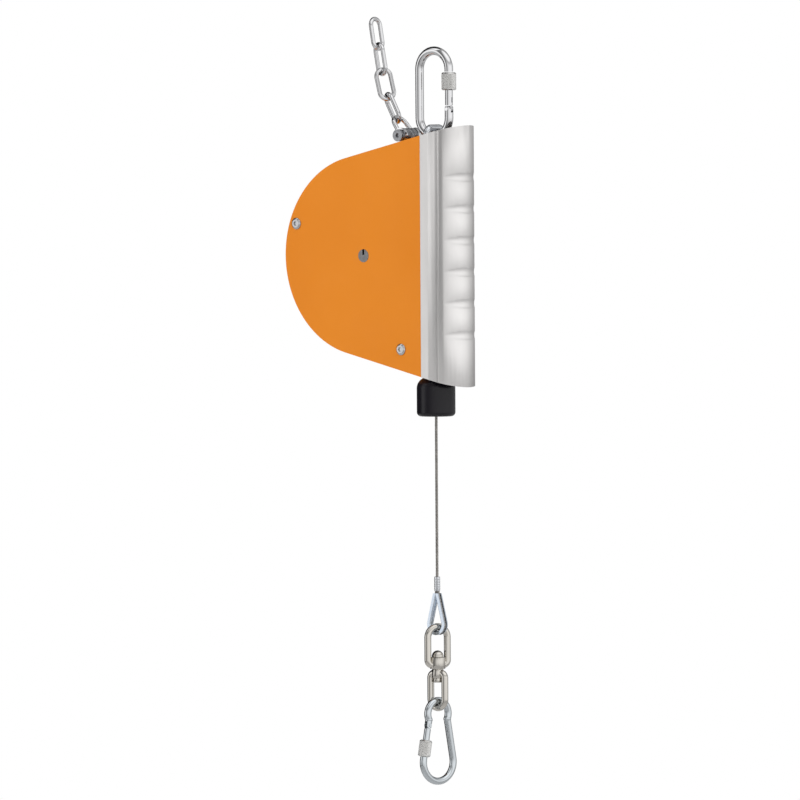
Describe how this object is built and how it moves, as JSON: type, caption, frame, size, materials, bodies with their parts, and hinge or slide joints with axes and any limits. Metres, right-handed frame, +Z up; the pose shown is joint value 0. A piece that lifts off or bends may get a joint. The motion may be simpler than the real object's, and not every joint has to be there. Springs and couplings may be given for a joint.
{
  "type": "self retracting wire rope lifeline",
  "caption": "Flat D-shaped housing with a grooved grip spine hung from a screw-lock carabiner; a wire rope with buffer, swivel and hook, and a safety chain.",
  "frame": {"origin": "where the upper carabiner bears on its support: the inner top of its upper bend", "axes": "+Z up along the line of the rope, +X from the drum towards the grooved grip, +Y along the drum's axis"},
  "size_m": [0.15, 0.0381, 0.5361],
  "materials": {
    "orange_cover": "satin orange powder coat",
    "anodised": "satin natural anodised",
    "dark_zinc": "black zinc plated",
    "bright_steel": "polished stainless",
    "zinc_steel": "bright zinc plated",
    "spring_steel": "oiled tempered strip",
    "cast_aluminium": "die cast",
    "bush_plastic": "natural acetal",
    "rope_steel": "stranded wire rope",
    "knurled": "diamond knurled nickel plated",
    "rubber": "satin black rubber",
    "galvanised": "bright galvanised"
  },
  "bodies": {
    "top_ring": {"ring_body": "bright_steel", "ring_rivet": "bright_steel"},
    "top_gate": {"ring_gate": "bright_steel"},
    "top_sleeve": {"ring_sleeve": "knurled"},
    "housing": {"cover_left": "orange_cover", "cover_right": "orange_cover", "spine_grip": "anodised", "hanger_block": "cast_aluminium", "guide_block": "cast_aluminium", "block_pins": "zinc_steel", "hanger_bow": "zinc_steel", "hanger_nuts": "zinc_steel", "case_spacers": "zinc_steel", "case_screws_left": "bright_steel", "case_screws_right": "bright_steel", "drum_shaft": "zinc_steel", "spring_core": "dark_zinc", "power_spring": "spring_steel", "rope_lead": "rope_steel", "ratchet_ring": "dark_zinc", "ratchet_screws": "zinc_steel", "rope_guide": "bush_plastic", "buffer_bolt": "zinc_steel", "buffer": "rubber", "safety_lug": "zinc_steel", "safety_bolt": "zinc_steel", "safety_washers": "zinc_steel", "safety_nut": "zinc_steel"},
    "drum": {"drum": "cast_aluminium", "drum_lid": "zinc_steel", "drum_bush_left": "bush_plastic", "drum_bush_right": "bush_plastic", "rope_winding": "rope_steel", "rope_anchor": "zinc_steel", "pawl_pins": "zinc_steel", "pawl_springs": "spring_steel"},
    "pawl_a": {"pawl_a": "dark_zinc"},
    "pawl_b": {"pawl_b": "dark_zinc"},
    "rope_end": {"wire_rope": "rope_steel", "rope_ferrule": "zinc_steel", "rope_eye": "rope_steel", "thimble": "galvanised"},
    "swivel_top": {"swivel_upper": "bright_steel"},
    "swivel_low": {"swivel_lower": "bright_steel", "swivel_rivet": "bright_steel"},
    "hook": {"hook_body": "bright_steel", "hook_rivet": "bright_steel"},
    "hook_gate": {"hook_gate": "bright_steel"},
    "hook_sleeve": {"hook_sleeve": "knurled"},
    "chain_bow": {"chain_bow": "bright_steel"},
    "chain_link_1": {"chain_link_1": "bright_steel"},
    "chain_link_2": {"chain_link_2": "bright_steel"},
    "chain_link_3": {"chain_link_3": "bright_steel"},
    "chain_link_4": {"chain_link_4": "bright_steel"}
  },
  "joints": [
    {"name": "housing_swing", "type": "hinge", "parent": "top_ring", "child": "housing", "pos_m": [0, 0, -0.05085], "axis": [0, 1, 0], "range_deg": [0, 8]},
    {"name": "top_gate", "type": "hinge", "parent": "top_ring", "child": "top_gate", "pos_m": [0.013, 0, -0.0376], "axis": [0, -1, 0], "range_deg": [0, 25], "stiffness_Nm_per_rad": 0.05, "springref_deg": -17.19},
    {"name": "top_sleeve", "type": "slide", "parent": "top_gate", "child": "top_sleeve", "axis": [0, 0, -1], "range_m": [-0.0034, 0.009]},
    {"name": "drum_turn", "type": "hinge", "parent": "housing", "child": "drum", "pos_m": [-0.05, 0, -0.14], "axis": [0, 1, 0], "range_deg": [-120, 1770]},
    {"name": "rope_pull", "type": "slide", "parent": "housing", "child": "rope_end", "axis": [0, 0, -1], "range_m": [-0.11, 1.6], "stiffness_N_per_m": 20, "springref_m": -0.02928, "deforming": ["wire_rope"]},
    {"name": "swivel_rock", "type": "hinge", "parent": "rope_end", "child": "swivel_top", "pos_m": [0, 0, -0.40305], "axis": [1, 0, 0], "range_deg": [-10, 10]},
    {"name": "swivel_spin", "type": "hinge", "parent": "swivel_top", "child": "swivel_low", "pos_m": [0, 0, -0.42825], "axis": [0, 0, 1], "continuous": true},
    {"name": "hook_swing", "type": "hinge", "parent": "swivel_low", "child": "hook", "pos_m": [0, 0, -0.45555], "axis": [1, 0, 0], "range_deg": [-15, 15]},
    {"name": "hook_gate", "type": "hinge", "parent": "hook", "child": "hook_gate", "pos_m": [-0.00187, -0.00882, -0.46733], "axis": [0.9781, -0.2079, 0], "range_deg": [0, 25], "stiffness_Nm_per_rad": 0.05, "springref_deg": -17.19},
    {"name": "hook_sleeve", "type": "slide", "parent": "hook_gate", "child": "hook_sleeve", "axis": [0.0369, 0.1737, 0.9841], "range_m": [-0.0032, 0.004]},
    {"name": "pawl_a_swing", "type": "hinge", "parent": "drum", "child": "pawl_a", "pos_m": [-0.026, 0, -0.14], "axis": [0, -1, 0], "range_deg": [0, 12], "stiffness_Nm_per_rad": 0.01, "springref_deg": -17.19},
    {"name": "pawl_b_swing", "type": "hinge", "parent": "drum", "child": "pawl_b", "pos_m": [-0.074, 0, -0.14], "axis": [0, -1, 0], "range_deg": [0, 12], "stiffness_Nm_per_rad": 0.01, "springref_deg": -17.19},
    {"name": "bow_swing", "type": "hinge", "parent": "housing", "child": "chain_bow", "pos_m": [-0.024, 0, -0.0559], "axis": [0, 1, 0], "range_deg": [0, 10]},
    {"name": "link_1_swing", "type": "hinge", "parent": "chain_bow", "child": "chain_link_1", "pos_m": [-0.03359, 0, -0.04363], "axis": [0, 1, 0], "range_deg": [0, 10]},
    {"name": "link_2_swing", "type": "hinge", "parent": "chain_link_1", "child": "chain_link_2", "pos_m": [-0.04211, 0, -0.02775], "axis": [-0.7574, 0.5, -0.4199], "range_deg": [0, 10]},
    {"name": "link_3_swing", "type": "hinge", "parent": "chain_link_2", "child": "chain_link_3", "pos_m": [-0.04641, 0, -0.01022], "axis": [0.6209, 0.766, 0.1664], "range_deg": [0, 10]},
    {"name": "link_4_swing", "type": "hinge", "parent": "chain_link_3", "child": "chain_link_4", "pos_m": [-0.04974, 0, 0.00748], "axis": [0.9101, -0.3746, 0.1769], "range_deg": [-10, 0]}
  ],
  "couplings": [
    {"joint": "rope_pull", "follows": "drum_turn", "m_per_rad": 0.05}
  ]
}
